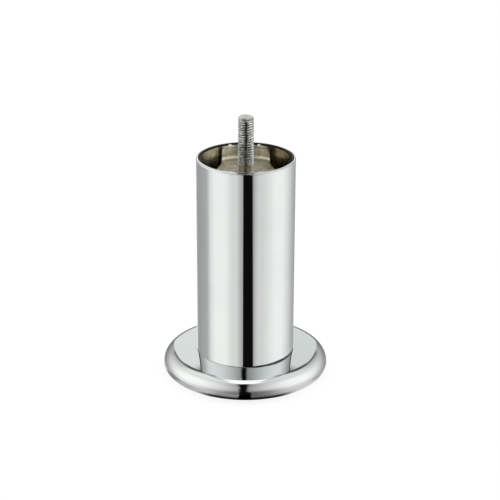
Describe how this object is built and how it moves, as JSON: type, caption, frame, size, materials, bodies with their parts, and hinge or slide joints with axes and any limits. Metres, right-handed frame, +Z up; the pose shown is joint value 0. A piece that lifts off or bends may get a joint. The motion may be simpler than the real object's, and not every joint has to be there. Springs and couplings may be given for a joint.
{
  "type": "sofa leg",
  "caption": "Round chrome tube leg on a domed disc foot, with a threaded stud held by a strap across its open top and a plastic glide under the foot",
  "frame": {"origin": "on the floor, at the centre of the pad's underside, on the leg's axis", "axes": "+Z up along the tube and the stud, -Y towards the picture's camera, the strap runs along Y"},
  "size_m": [0.085, 0.085, 0.1375],
  "materials": {
    "chrome_tube": "polished chromium plate outside, duller warm nickel in the bore",
    "chrome_base": "polished chromium plate",
    "plated_strap": "dull warm plating on rolled strip",
    "plated_bolt": "satin zinc plate",
    "black_plastic": "fine moulded grain"
  },
  "bodies": {
    "root": {"leg_tube": "chrome_tube", "base_flange": "chrome_base", "mounting_strap": "plated_strap", "mounting_bolt": "plated_bolt", "floor_pad": "black_plastic"}
  },
  "joints": []
}
